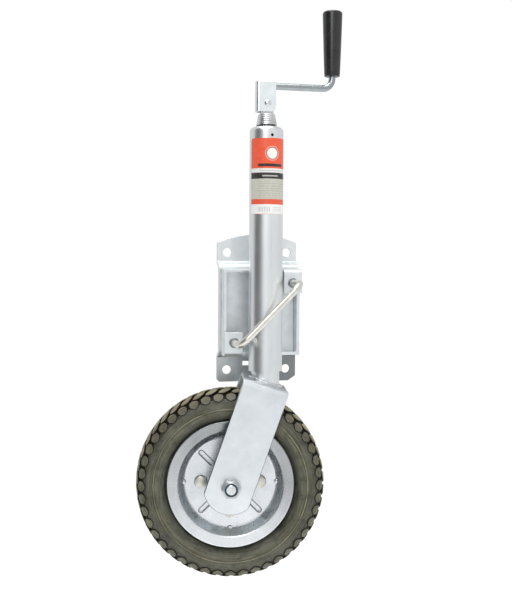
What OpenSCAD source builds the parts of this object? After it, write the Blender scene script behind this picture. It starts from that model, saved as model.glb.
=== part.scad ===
// Swing-up jockey wheel for a trailer drawbar: a bracket that bolts on, a jack tube that swings
// on it, a crank, a travelling nut, a castor fork and a tyred wheel.
// Origin: the swing pivot's axis at the bracket's back face. +Z up, -Y towards the user.

/* [Bracket] */
// Width of the mounting plate
plate_w = 120; // [110:1:140]
// Thickness of the mounting plate
plate_t = 5; // [4:0.5:6]
// Height of the plate's arched top above the pivot
plate_top = 114; // [110:1:125]
// Depth of the plate's lower edge below the pivot
plate_low = 105; // [100:0.5:105]
// Sideways spacing of the frame bolts
bolt_dx = 90; // [86:1:94]
// Upright spacing of the frame bolts
bolt_dz = 174; // [170:1:176]
// Diameter of the frame bolt holes
bolt_d = 13; // [11:0.5:14]
// How far the middle of the plate stands off the trailer
plate_step = 14; // [14:0.5:16]

/* [Swivel tray and lock] */
// Width of the swivel tray
tray_w = 113; // [110:1:118]
// Height of the swivel tray
tray_h = 126; // [122:1:128]
// Sheet thickness of the swivel tray
tray_t = 5; // [4:0.5:6]
// Distance of each lock pin from the pivot, along X and along Z
lock_xz = 43; // [42:0.5:44]
// Diameter of the lock rod
rod_d = 10; // [9:0.5:10]
// Diameter of the lock pins
pin_d = 12; // [11:0.5:12]

/* [Jack tube] */
// Distance of the tube's axis in front of the trailer
axis_y = 65; // [65:0.5:67]
// Outer diameter of the outer tube
tube_d = 48; // [48:0.5:49]
// Height of the tube's top above the pivot
tube_top = 264; // [263.5:0.5:265]
// Depth of the tube's lower end below the pivot
tube_low = 82; // [80:0.5:84]
// Outer diameter of the inner tube
inner_d = 40.6; // [40:0.1:40.6]

/* [Crank] */
// Reach of the crank arm
crank_reach = 96; // [80:1:120]
// Length of the handle grip
grip_h = 92.5; // [80:0.5:110]
// Diameter of the grip at its upper end
grip_d = 28.5; // [26:0.5:32]

/* [Fork and wheel] */
// Lean of the fork, which gives the trail
fork_lean = 19.2; // [17:0.1:19.2]
// Castor angle at which the wheel stands
castor_at = -9; // [-20:1:0]
// Height of the axle below the pivot
axle_drop = 240.5; // [240.5:0.5:250]
// Outer radius of the tyre
tyre_r = 134.5; // [128:0.5:134.5]
// Half width of the tyre
tyre_half = 38; // [34:0.5:38]

/* [Hidden] */
$fn = 64;
run = 0.08;                                  // radial clearance of a running fit
cut = 1;                                     // how far a cutter passes its face
mid_back = plate_step;                       // the plate's raised middle, back face
mid_front = plate_step + plate_t;            // and front face
washer_t = 0.9;
tray_back = mid_front + 1;
tray_front = tray_back + tray_t;
tube_r = tube_d / 2;
flange_front = axis_y - tube_r + 1;          // the tray's flanges reach just round the tube's back
flange_t = 5;                                // upper and lower flange of the tray
bore_r = tube_r - 2.5;
inner_r = inner_d / 2;
pivot_r = 10;
thread_r = 8;
tab_t = 4;
label_h = 106.5;
tab_back = 49;                               // tab face, side towards the tray
tab_front = tab_back + tab_t;
tab_w = 27;
tab_mid = 43.5;                              // tab centre along X
lock_span = lock_xz * sqrt(2);
rod_r = rod_d / 2;
pin_r = pin_d / 2;
cross_y = axis_y + 37.5;                     // centre of the rod's crossing, lock pulled clear
elbow_r = 14;
pin_tip = mid_front + 0.4;
pin_end = pin_tip + 14.6;
collar_t = 2.5;
collar_r = 7.6;
screw_r = 10;
neck_r = 9;
collar_z = 244;                              // under side of the screw's thrust collar
race_r = 19.5;
ball_r = 2.5;
ball_pitch = 15;
ball_z = collar_z + 9.5;
fold_z = 297;                                // fold pivot of the handle
clevis_top = 327.5;
arm_z = clevis_top - rod_r - 0.3;
grip_z = 339.5;
nut_z = 215;                                 // under side of the travelling nut
nut_h = 25;
tube_end = 212;                              // top of the inner tube
lean_top = 98.3;                             // fork bridge below the pivot
fork_w = 66;
fork_t = 6;
leg_end_r = 38.5;                            // round end of a leg, cut by its straight edges
leg_l = (axle_drop - lean_top) / cos(fork_lean);
trail = (axle_drop - lean_top) * tan(fork_lean);
leg_in = 40;                                 // inner face of a fork leg from the wheel's middle
axle_r = 8;
hub_half = 36.5;
hub_r = 21;
disc_y = 4;                                  // inner face of a rim disc
disc_r = 62;                                 // edge of the disc node, where the rim's flange starts
rim_t = 2.5;
rim_bolt_r = 42;
bolt_r = 5;
bolt_flats = 16;
slot_r = 3.2;                                // rim slots: half width, and the radii of their ends
slot_ends = [37, 58.5];
valve_r = 3.8;
valve_y = 11.2;                              // the valve lies along a radius, this far from the middle
valve_at = 90 - fork_lean;                   // angle of the valve round the wheel

steel = "gainsboro";
zinc = "lightgray";
rubber = "#3a3a32";

// ---- helpers ----
function unit(v) = v / norm(v);
function left_of(d) = [-d[1], d[0]];
function turned(v, a) = [v[0] * cos(a) - v[1] * sin(a), v[0] * sin(a) + v[1] * cos(a)];
function turn(d1, d2) = atan2(d1[0] * d2[1] - d1[1] * d2[0], d1 * d2);
// Points and normals round one bend of a folded strip
function bend(p, d1, d2, r, steps) =
    let (a = turn(d1, d2), s = sign(a), centre = p - d1 * r * abs(tan(a / 2)) + left_of(d1) * r * s)
    [for (k = [0 : steps]) let (n = turned(left_of(d1), a * k / steps)) [centre - n * r * s, n]];
function strip_path(pts, r, steps) = let (last = len(pts) - 1) [
    [pts[0], left_of(unit(pts[1] - pts[0]))],
    for (i = [1 : last - 1])
        each bend(pts[i], unit(pts[i] - pts[i - 1]), unit(pts[i + 1] - pts[i]), r, steps),
    [pts[last], left_of(unit(pts[last] - pts[last - 1]))]];

// A folded strip: centre line through pts, sheet thickness t, bend radius r
module strip(pts, t, r, steps = 6) {
    path = strip_path(pts, r, steps);
    polygon(concat([for (q = path) q[0] + q[1] * t / 2],
        [for (i = [len(path) - 1 : -1 : 0]) path[i][0] - path[i][1] * t / 2]));
}

// Extrudes a (Y, Z) outline along X, centred
module along_x(w) { rotate([90, 0, 90]) linear_extrude(w, center = true) children(); }
// Extrudes an (X, Z) outline along +Y from y
module along_y(y, h) { translate([0, y + h, 0]) rotate([90, 0, 0]) linear_extrude(h) children(); }
// A cylinder along Y from y0 to y1
module rod_y(r, y0, y1) { translate([0, y0, 0]) rotate([-90, 0, 0]) cylinder(r = r, h = y1 - y0); }
module ring(r_out, r_in, h) {
    difference() {
        cylinder(r = r_out, h = h);
        translate([0, 0, -cut]) cylinder(r = r_in, h = h + 2 * cut);
    }
}
module ring_y(r_out, r_in, y0, y1) { translate([0, y0, 0]) rotate([-90, 0, 0]) ring(r_out, r_in, y1 - y0); }
module hex_y(flats, y0, y1) {
    translate([0, y0, 0]) rotate([-90, 0, 0]) cylinder(r = flats / sqrt(3), h = y1 - y0, $fn = 6);
}
module torus(pitch_r, r) { rotate_extrude() translate([pitch_r, 0]) circle(r = r); }
module at_lock_corners() { for (s = [-1, 1]) translate([s * lock_xz, 0, s * lock_xz]) children(); }
module at_tube() { translate([0, -axis_y, 0]) children(); }
module castor() { at_tube() rotate([0, 0, castor_at]) children(); }
module fork_frame() { castor() translate([0, 0, -lean_top]) rotate([0, fork_lean, 0]) children(); }
module wheel() { castor() translate([-trail, 0, -axle_drop]) children(); }
// Turns a profile drawn as (radius, distance towards -Y) about the wheel's axle
module wheel_turned() { wheel() rotate([90, 0, 0]) rotate_extrude($fn = 96) children(); }
module both_sides() { for (s = [0, 1]) mirror([0, s, 0]) children(); }

// ---- bracket ----
module mounting_plate() {
    z_up = 66;
    z_dn = -60;
    arch_r = 151;
    y_lug = -plate_t / 2;
    y_mid = y_lug - plate_step;
    color(zinc) difference() {
        intersection() {
            along_x(plate_w) strip([[y_lug, -plate_low], [y_lug, z_dn - 6], [y_mid, z_dn],
                [y_mid, z_up], [y_lug, z_up + 6], [y_lug, plate_top]], plate_t, 4);
            along_y(-mid_front - cut, mid_front + 2 * cut) intersection() {
                translate([0, plate_top - arch_r]) circle(r = arch_r, $fn = 180);
                polygon([[-plate_w / 2, plate_top], [-plate_w / 2, 4 - plate_low],
                    [4 - plate_w / 2, -plate_low], [plate_w / 2 - 11, -plate_low],
                    [plate_w / 2, 7.5 - plate_low], [plate_w / 2, plate_top]]);
            }
        }
        for (x = [-1, 1], z = [-1, 1]) translate([x * bolt_dx / 2, 0, z * bolt_dz / 2])
            rod_y(bolt_d / 2, -plate_t - cut, cut);
        rod_y(pivot_r + run, -mid_front - cut, -mid_back + cut);
        for (x = [-1, 1], z = [-1, 1]) translate([x * lock_xz, 0, z * lock_xz])
            rod_y(pin_r + 0.4, -mid_front - cut, -mid_back + cut);
        for (x = [-1, 1]) translate([x * 16 - 5, -plate_t - cut, -81.2]) cube([10, plate_t + 2 * cut, 6.5]);
    }
}
module pivot_washer() {
    color("dimgray") ring_y(28, pivot_r + 0.3, -mid_front - washer_t, -mid_front);
}

// ---- swinging jack ----
module swivel_tray() {
    x = (tray_w - tray_t) / 2;
    y = -tray_back - tray_t / 2;
    cradle = tube_r + 0.05;
    color(zinc) difference() {
        union() {
            translate([0, 0, -tray_h / 2]) linear_extrude(tray_h)
                strip([[-x, -flange_front], [-x, y], [x, y], [x, -flange_front]], tray_t, 4);
            for (s = [0, 1]) mirror([0, 0, s]) translate([-x + 2, -flange_front, tray_h / 2 - flange_t])
                cube([2 * x - 4, flange_front - tray_back - 1, flange_t]);
        }
        at_tube() translate([0, 0, -tray_h / 2 - cut]) cylinder(r = cradle, h = tray_h + 2 * cut);
        rod_y(pivot_r, -tray_front - cut, -tray_back + cut);
        at_lock_corners() rod_y(pin_r + run, -flange_front - cut, -tray_back + cut);
    }
}
// The upper tab; the lower one is the same piece turned half round
module lock_tab() {
    leg_z = (tray_h - tab_t) / 2;
    color(zinc) difference() {
        translate([tab_mid, 0, 0]) along_x(tab_w)
            strip([[-flange_front, leg_z], [-tab_back - tab_t / 2, leg_z], [-tab_back - tab_t / 2, 28]],
                tab_t, 5);
        translate([lock_xz, 0, lock_xz]) rod_y(rod_r + run, -tab_front - cut, -tab_back + cut);
    }
}
module lock_tab_upper() { lock_tab(); }
module lock_tab_lower() { rotate([0, 180, 0]) lock_tab(); }
module pivot_bolt() {
    color(steel) {
        rod_y(pivot_r, -tray_front, -mid_back + 0.2);
        rod_y(15, -tray_front - 4.5, -tray_front);
        rod_y(thread_r, -mid_back + 0.2, -1.5);
    }
}
module pivot_nut_washer() { color(steel) ring_y(15, thread_r, -mid_back + 0.2, -mid_back + 2.7); }
module pivot_nut() {
    color(steel) difference() {
        hex_y(24, -mid_back + 2.7, -2.3);
        rod_y(thread_r, -mid_back, 0);
    }
}
module outer_tube() {
    roll_r = 7;
    color(steel) at_tube() difference() {
        rotate_extrude() {
            translate([bore_r, -tube_low]) square([tube_r - bore_r, tube_top - roll_r + tube_low]);
            translate([tube_r - roll_r, tube_top - roll_r]) intersection() {
                difference() {
                    circle(r = roll_r);
                    circle(r = roll_r - 2.5);
                }
                square(roll_r + cut);
            }
        }
        translate([0, 0, tube_top - 13.4]) rotate([0, 0, 7]) rod_y(2.1, -tube_r - cut, -bore_r + cut);
    }
}
// Beads round the tube's back, on the tray's upper and lower flange, and a short run to each side
module tube_welds() {
    color("silver") {
        for (z = [-1, 1]) at_tube() translate([0, 0, z * (tray_h / 2 + 1)]) rotate([0, 0, 62])
            rotate_extrude(angle = 56) translate([tube_r + 1, 0]) circle(r = 2.2);
        for (x = [-28, 19]) translate([x, -flange_front, (tray_h - flange_t) / 2]) rotate([0, 90, 0])
            cylinder(r = 1.8, h = 9);
    }
}
module tube_label() {
    color("orangered") at_tube() translate([0, 0, 140]) rotate([0, 0, 190])
        rotate_extrude(angle = 200) translate([tube_r + 0.02, 0]) square([0.28, label_h]);
}
module top_bush() {
    color("dimgray") at_tube() rotate_extrude() difference() {
        union() {
            translate([neck_r + run, tube_top - 4.8]) square([20.8 - neck_r - run, 1.6]);
            translate([neck_r + run, tube_top - 3.4]) square([16.9 - neck_r - run, 3.6]);
        }
        translate([tube_r - 7, tube_top - 7]) difference() {
            square(8);
            circle(r = 4.5);
        }
    }
}
module upper_race() {
    color(steel) at_tube() difference() {
        translate([0, 0, ball_z + 1.8]) ring(race_r, neck_r + 1, tube_top - 4.9 - ball_z - 1.8);
        translate([0, 0, ball_z]) torus(ball_pitch, ball_r + 0.05);
    }
}
module lower_bush() {
    color("dimgray") at_tube() translate([0, 0, -tube_low + 0.5]) ring(bore_r, inner_r + run, 22);
}

// ---- lock ----
// The U of round rod, in the plane of the two lock corners
module lock_rod() {
    bend_x = lock_span - elbow_r;
    bend_y = -cross_y + elbow_r;
    color("wheat") rotate([0, -45, 0]) {
        for (s = [0, 1]) mirror([s, 0, 0]) {
            translate([lock_span, 0, 0]) rod_y(rod_r, bend_y, -pin_end + 1);
            translate([bend_x, bend_y, 0]) rotate([0, 0, -90]) rotate_extrude(angle = 90)
                translate([elbow_r, 0]) circle(r = rod_r);
        }
        translate([-bend_x, -cross_y, 0]) rotate([0, 90, 0]) cylinder(r = rod_r, h = 2 * bend_x);
    }
}
module lock_pins() {
    color(steel) at_lock_corners() difference() {
        union() {
            rod_y(pin_r, -pin_end, -pin_tip - 2);
            translate([0, -pin_tip - 2, 0]) rotate([-90, 0, 0]) cylinder(r1 = pin_r, r2 = pin_r - 1.5, h = 2);
        }
        rod_y(rod_r, -pin_end - cut, -pin_end + 1);
    }
}
module lock_collars() {
    color(steel) at_lock_corners() ring_y(collar_r, rod_r, -pin_end - collar_t, -pin_end);
}
// Each return spring is drawn as a sleeve; its wire is a helix
module lock_springs() {
    color(steel) at_lock_corners() ring_y(collar_r - 0.2, rod_r + 0.6, -tab_back, -pin_end - collar_t);
}

// ---- screw and crank ----
module jack_screw() {
    low = 0;
    neck_top = fold_z - 14.2;
    color(steel) at_tube() {
        translate([0, 0, low]) cylinder(r = screw_r - run, h = collar_z - low);
        translate([0, 0, collar_z]) cylinder(r = race_r, h = 4);
        translate([0, 0, collar_z + 4]) cylinder(r = neck_r, h = neck_top - collar_z - 4);
        difference() {
            union() {
                translate([-9, -4.85, neck_top]) cube([18, 9.7, fold_z - neck_top]);
                translate([0, 0, fold_z]) rod_y(9, -4.85, 4.85);
            }
            translate([0, 0, fold_z]) rod_y(4, -6, 6);
        }
    }
}
module lower_race() {
    color(steel) at_tube() difference() {
        translate([0, 0, collar_z + 4]) ring(race_r, neck_r, ball_z - 1.8 - collar_z - 4);
        translate([0, 0, ball_z]) torus(ball_pitch, ball_r);
    }
}
module bearing_cage() {
    color("goldenrod") at_tube() translate([0, 0, ball_z]) {
        translate([0, 0, -0.8]) ring(18.4, 11.4, 1.6);
        for (k = [0 : 11]) rotate([0, 0, 30 * k]) translate([ball_pitch, 0, 0]) sphere(r = ball_r);
    }
}
module handle_spring() {
    wire = 1.4;
    pitch = 2.9;
    turns = 5;
    color(steel) at_tube() for (k = [0 : turns])
        translate([0, 0, tube_top + 2.7 + pitch * k]) torus(13.7 - 0.5 * k, wire);
}
module clevis_rivet() {
    color(steel) at_tube() translate([0, 0, fold_z]) {
        rod_y(4, -8.1, 8.1);
        for (s = [0, 1]) mirror([0, s, 0]) {
            translate([0, -8.1, 0]) intersection() {
                translate([0, 5.2, 0]) sphere(r = 8);
                rod_y(6.1, -4, 0);
            }
        }
    }
}
module crank_clevis() {
    open_x = 12;
    back_x = -16.5;
    low = fold_z - 12;
    color(zinc) at_tube() difference() {
        translate([0, 0, low]) linear_extrude(clevis_top - low)
            strip([[open_x, 6.5], [back_x + 1.5, 6.5], [back_x + 1.5, -6.5], [open_x, -6.5]], 3, 3);
        translate([0, 0, fold_z]) rod_y(4 + run, -10, 10);
        translate([0, 0, 0]) along_y(-10, 20) difference() {
            translate([open_x - 8, low - cut]) square([9, 8 + cut]);
            translate([open_x - 8, low + 8]) circle(r = 8);
        }
    }
}
module crank_arm() {
    bend_r = 14;
    color(steel) at_tube() translate([0, 0, arm_z]) {
        translate([-13, 0, 0]) rotate([0, 90, 0]) cylinder(r = rod_r - 0.1, h = 13 + crank_reach - bend_r);
        translate([crank_reach - bend_r, 0, bend_r]) rotate([90, 0, 0]) rotate([0, 0, -90])
            rotate_extrude(angle = 90) translate([bend_r, 0]) circle(r = rod_r - 0.1);
        translate([crank_reach, 0, bend_r]) cylinder(r = rod_r - 0.1, h = grip_z + grip_h - 5 - arm_z - bend_r);
    }
}
module at_grip() { at_tube() translate([crank_reach, 0, grip_z]) children(); }
module grip_clip() {
    color(steel) at_grip() translate([0, 0, grip_h - 7.6]) ring(7.6, rod_r - 0.1, 1.4);
}
module grip() {
    low_r = 11.2;
    top_r = grip_d / 2;
    edge = 3;
    color("#1c1c1c") at_grip() rotate_extrude() difference() {
        union() {
            polygon([[rod_r - 0.02, 0], [low_r - 1, 0], [low_r, 1], [top_r, grip_h - edge],
                [rod_r - 0.02, grip_h - edge]]);
            translate([0, grip_h - edge]) square([top_r - edge, edge]);
            translate([top_r - edge, grip_h - edge]) intersection() {
                circle(r = edge);
                square(edge);
            }
        }
        square([rod_r - 0.02, grip_h]);
        translate([0, grip_h - 8]) square([8.5, 8 + cut]);
    }
}
module grip_plug() { color("#1c1c1c") at_grip() translate([0, 0, grip_h - 4]) cylinder(r = 8.5, h = 4); }

// ---- travelling nut and inner tube ----
module jack_nut() {
    color("goldenrod") at_tube() difference() {
        union() {
            translate([0, 0, nut_z]) cylinder(r = bore_r - run, h = nut_h);
            translate([0, 0, nut_z - 20]) cylinder(r = 13, h = 21);
        }
        translate([0, 0, nut_z - 21]) cylinder(r = screw_r, h = nut_h + 22);
    }
}
module swivel_washer() {
    color("dimgray") at_tube() translate([0, 0, tube_end + 0.1]) ring(20, 13, nut_z - tube_end - 0.1);
}
module nut_retainer() { color(steel) at_tube() translate([0, 0, nut_z - 19.5]) ring(17, 13, 5); }
module inner_tube() {
    color(steel) castor() difference() {
        translate([0, 0, -lean_top - 12]) ring(inner_r, inner_r - 2.5, tube_end + lean_top + 12);
        translate([0, 0, -lean_top]) rotate([0, fork_lean, 0]) translate([-50, -50, -60]) cube([100, 100, 60]);
    }
}
module swivel_plug() {
    color(steel) castor() translate([0, 0, nut_z - 14.3]) ring(inner_r - 2.5, 13 + run, tube_end - nut_z + 14.3);
}
// Legs hang along the leaning -Z from the bridge
module fork() {
    leg = leg_in + fork_t / 2;
    color(zinc) difference() {
        fork_frame() intersection() {
            along_x(fork_w) strip([[-leg, -leg_l - fork_w], [-leg, -fork_t / 2], [leg, -fork_t / 2],
                [leg, -leg_l - fork_w]], fork_t, 7);
            along_y(-60, 120) {
                translate([-fork_w / 2, -leg_l]) square([fork_w, leg_l]);
                translate([0, -leg_l]) circle(r = leg_end_r);
            }
        }
        wheel() rod_y(axle_r + 0.3, -60, 60);
    }
}
module fork_weld() {
    color("silver") difference() {
        fork_frame() cylinder(r1 = inner_r + 5, r2 = inner_r + 1, h = 4);
        castor() translate([0, 0, -lean_top - 30]) cylinder(r = inner_r, h = 60);
    }
}
module axle_bolt() {
    color(steel) wheel() {
        rod_y(axle_r, -61.5, 48);
        hex_y(24, 48, 57.5);
    }
}
module axle_nut() {
    color(steel) wheel() difference() {
        hex_y(24, -58.8, -48);
        rod_y(axle_r, -60, -47);
    }
}
module axle_nut_ring() { color("royalblue") wheel() ring_y(9.8, axle_r, -61, -58.8); }
module axle_washers() { color(steel) wheel() both_sides() ring_y(15, axle_r, -48, -leg_in - fork_t); }
module axle_spacers() { color(steel) wheel() both_sides() ring_y(10.8, axle_r, -leg_in, -hub_half); }
module bearing_inner_rings() {
    color(steel) wheel() both_sides() difference() {
        ring_y(11.4, axle_r, -hub_half, -hub_half + 10);
        translate([0, -hub_half + 5, 0]) rotate([90, 0, 0]) torus(12.6, 2.25);
    }
}
module inner_sleeve() { color(steel) wheel() ring_y(10.4, axle_r, -hub_half + 10, hub_half - 10); }

// ---- wheel ----
module hub() {
    color(steel) wheel() difference() {
        rod_y(hub_r, -hub_half, hub_half);
        rod_y(12, -hub_half - cut, hub_half + cut);
        both_sides() rod_y(17, -hub_half - cut, -hub_half + 10);
    }
}
module hub_disc() {
    color(steel) difference() {
        wheel() ring_y(disc_r, hub_r, -disc_y, disc_y);
        at_rim_bolts() rod_y(bolt_r, -10, 10);
    }
}
module bearing_outer_rings() {
    color(steel) wheel() both_sides() difference() {
        ring_y(17, 13.8, -hub_half, -hub_half + 10);
        translate([0, -hub_half + 5, 0]) rotate([90, 0, 0]) torus(12.6, 2.2);
    }
}
module bearing_balls() {
    color(steel) wheel() both_sides() translate([0, -hub_half + 5, 0])
        for (k = [0 : 8]) rotate([0, 40 * k, 0]) translate([12.6, 0, 0]) sphere(r = 2.2);
}
module dust_covers() { color("dimgray") wheel() both_sides() ring_y(16.8, 11.6, -hub_half - 1.8, -hub_half - 0.2); }
// One pressed rim half is a flat disc that runs into a cone and the flange beside the tyre's bead
module rim_flange() {
    disc_mid = disc_y + rim_t / 2;
    wheel_turned() strip([[disc_r, disc_mid], [67, disc_mid], [75.5, 24], [90, 25.5]], rim_t, 2, 4);
}
module rim_slots() {
    for (k = [0 : 3]) wheel() rotate([0, 45 + 90 * k, 0]) {
        for (r = slot_ends) translate([r, 0, 0]) rod_y(slot_r, -disc_y - 6, -disc_y + cut);
        translate([slot_ends[0], -disc_y - 6, -slot_r]) cube([slot_ends[1] - slot_ends[0], 7, 2 * slot_r]);
    }
}
module rim_disc() {
    difference() {
        wheel() ring_y(disc_r, hub_r, -disc_y - rim_t, -disc_y);
        rim_slots();
        at_rim_bolts() rod_y(bolt_r + 0.3, -12, 0);
    }
}
// Turns the front half of the rim over, in the wheel's own frame
module turned_over() {
    castor() translate([-trail, 0, -axle_drop]) mirror([0, 1, 0]) translate([trail, 0, axle_drop])
        rotate([0, 0, -castor_at]) translate([0, axis_y, 0]) children();
}
module rim_front() { color(zinc) rim_disc(); }
module rim_flange_front() {
    color(zinc) difference() {
        rim_flange();
        at_valve(66) cylinder(r = valve_r + 0.6, h = 20);
    }
}
module rim_back() { color(zinc) turned_over() rim_disc(); }
module rim_flange_back() { color(zinc) turned_over() rim_flange(); }
module at_rim_bolts() {
    wheel() for (k = [0 : 3]) rotate([0, 90 * k, 0]) translate([rim_bolt_r, 0, 0]) children();
}
module rim_bolts() {
    face = disc_y + rim_t;
    color("khaki") at_rim_bolts() {
        rod_y(bolt_r, -face, face + 10);
        hex_y(bolt_flats, -face - 6.4, -face);
    }
}
module rim_nuts() {
    face = disc_y + rim_t;
    color("khaki") at_rim_bolts() difference() {
        hex_y(bolt_flats, face, face + 8);
        rod_y(bolt_r, face - cut, face + 9);
    }
}
// Tyre outline as (radius, depth): half a section, mirrored about the wheel's middle
function side(h) = [for (p = h) [p[0], -p[1]]];
function back_to_front(h) = [for (i = [len(h) - 1 : -1 : 0]) h[i]];
module tyre() {
    crown = 26;
    shoulder = 34;
    outer = concat([[77.5, 22.5], [91.5, 23.2]],
        [for (a = [0 : 15 : 90]) [107 - 14 * cos(a), 24 + (tyre_half - 24) * sin(a)]],
        [[115, tyre_half - 0.6], [tyre_r - 8, shoulder], [tyre_r - 3.5, crown + 4], [tyre_r - 1.2, 14],
            [tyre_r, 0]]);
    inner = [[77.5, 16], [92, 17], [107, tyre_half - 8], [115, tyre_half - 9], [tyre_r - 11, 20], [tyre_r - 10, 0]];
    color(rubber) wheel_turned() polygon(concat(side(outer), back_to_front(outer),
        inner, back_to_front(side(inner))));
}
module air_tube() {
    color("black") difference() {
        wheel_turned() {
            for (r = [92.4, 107]) translate([r, 0]) circle(r = 14.6);
            translate([92.4, -14.6]) square([14.6, 29.2]);
        }
        at_valve(60) cylinder(r = valve_r, h = 30);
    }
}
// +Z runs outwards along the valve's radius from this distance
module at_valve(r) { wheel() rotate([0, 90 - valve_at, 0]) translate([0, -valve_y, r]) children(); }
module valve_stem() { color("#202020") at_valve(60) cylinder(r = valve_r, h = 30); }
module valve_cap() { color("black") at_valve(55) difference() {
    cylinder(r = valve_r + 0.6, h = 9);
    translate([0, 0, 5]) cylinder(r = valve_r, h = 5);
} }

mounting_plate();
pivot_washer();
swivel_tray();
lock_tab_upper();
lock_tab_lower();
pivot_bolt();
pivot_nut_washer();
pivot_nut();
outer_tube();
tube_welds();
tube_label();
top_bush();
upper_race();
lower_bush();
lock_rod();
lock_pins();
lock_collars();
lock_springs();
jack_screw();
lower_race();
bearing_cage();
handle_spring();
clevis_rivet();
crank_clevis();
crank_arm();
grip_clip();
grip();
grip_plug();
jack_nut();
swivel_washer();
nut_retainer();
inner_tube();
swivel_plug();
fork();
fork_weld();
axle_bolt();
axle_nut();
axle_nut_ring();
axle_washers();
axle_spacers();
bearing_inner_rings();
inner_sleeve();
hub();
hub_disc();
bearing_outer_rings();
bearing_balls();
dust_covers();
rim_front();
rim_flange_front();
rim_back();
rim_flange_back();
rim_bolts();
rim_nuts();
tyre();
air_tube();
valve_stem();
valve_cap();
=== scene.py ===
"""Looks for the swing-up jockey wheel: materials, detailed pieces, floor, light and camera."""

import math

import bmesh
import bpy
from mathutils import Matrix, Vector


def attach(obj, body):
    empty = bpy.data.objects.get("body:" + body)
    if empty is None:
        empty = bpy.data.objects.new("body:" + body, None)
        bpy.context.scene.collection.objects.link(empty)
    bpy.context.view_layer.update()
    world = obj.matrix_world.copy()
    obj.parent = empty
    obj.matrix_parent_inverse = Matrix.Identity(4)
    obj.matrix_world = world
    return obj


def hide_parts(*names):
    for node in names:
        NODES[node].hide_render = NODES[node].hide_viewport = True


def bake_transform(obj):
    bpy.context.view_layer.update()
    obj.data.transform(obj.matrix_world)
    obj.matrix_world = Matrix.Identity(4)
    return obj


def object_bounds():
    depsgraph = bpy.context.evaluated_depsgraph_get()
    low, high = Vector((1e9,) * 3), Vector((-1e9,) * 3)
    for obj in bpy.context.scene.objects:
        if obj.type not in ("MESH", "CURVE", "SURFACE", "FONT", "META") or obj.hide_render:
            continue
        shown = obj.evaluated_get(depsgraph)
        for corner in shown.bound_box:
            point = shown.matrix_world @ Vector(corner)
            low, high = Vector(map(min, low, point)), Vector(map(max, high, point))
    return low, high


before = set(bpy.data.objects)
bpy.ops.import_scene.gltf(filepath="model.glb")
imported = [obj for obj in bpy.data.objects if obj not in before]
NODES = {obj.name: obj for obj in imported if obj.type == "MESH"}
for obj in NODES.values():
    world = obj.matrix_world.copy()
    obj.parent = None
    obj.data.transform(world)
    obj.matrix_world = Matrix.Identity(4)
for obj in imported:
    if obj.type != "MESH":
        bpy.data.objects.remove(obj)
cad_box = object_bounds()
scene = bpy.context.scene
MM = 0.001


# ---------------------------------------------------------------- frames of the CAD, in millimetres
AXIS_Y = 65.0
TUBE_R = 24.0
TUBE_TOP = 264.0
FORK_LEAN = 19.2
CASTOR_AT = -9.0
AXLE_DROP = 240.5
LEAN_TOP = 98.3
TRAIL = (AXLE_DROP - LEAN_TOP) * math.tan(math.radians(FORK_LEAN))
TRAY_FRONT = 25.0
PLATE_BACK = 14.0
TAB_BACK = 49.0
TRAY_HALF = 63.0
FLANGE_FRONT = 42.0
LOCK_XZ = 43.0
CRANK_REACH = 96.0
GRIP_Z = 339.5
LIFT_TRAVEL = 200.0
LUG_TOP = -0.060        # metres: the lower lug starts at its fold here
LEGS_TOP = -0.125       # metres: the fork's legs start under its bridge here


def at(x=0.0, y=0.0, z=0.0):
    return Matrix.Translation((x * MM, y * MM, z * MM))


def turned(degrees, axis):
    return Matrix.Rotation(math.radians(degrees), 4, axis)


TUBE = at(0, -AXIS_Y, 0)
CASTOR = TUBE @ turned(CASTOR_AT, "Z")
WHEEL = CASTOR @ at(-TRAIL, 0, -AXLE_DROP)
TO_FRONT = turned(90, "X")    # a shape's +Z comes to point along -Y
TO_BACK = turned(-90, "X")    # and here along +Y


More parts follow.
